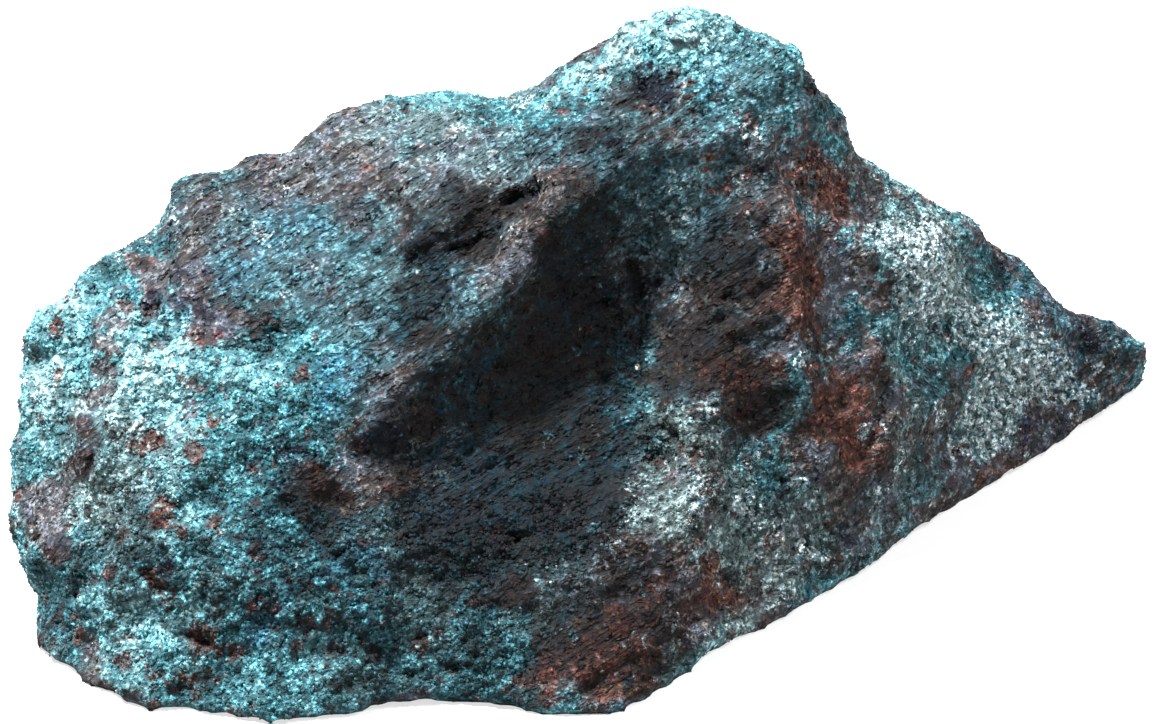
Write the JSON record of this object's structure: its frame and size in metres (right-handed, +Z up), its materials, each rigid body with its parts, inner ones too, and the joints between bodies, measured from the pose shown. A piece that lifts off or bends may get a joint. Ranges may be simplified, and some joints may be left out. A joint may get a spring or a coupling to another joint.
{
  "type": "shattuckite ore specimen",
  "caption": "Rough hand-sized lump of blue-green copper ore with a crusted, rust-stained broken surface, for display; it rests on a flat underside.",
  "frame": {"origin": "middle of the stone's bounding box, at the height of the flat underside", "axes": "+Z up, +X to the right along the stone's length as seen from the display side, +Y away from the display side"},
  "size_m": [0.0944, 0.0664, 0.042],
  "materials": {
    "mineral_crust": "matt, granular blue-green crust over grey-brown rock, with rust and dark blue patches"
  },
  "bodies": {
    "root": {"stone": "mineral_crust"}
  },
  "joints": []
}
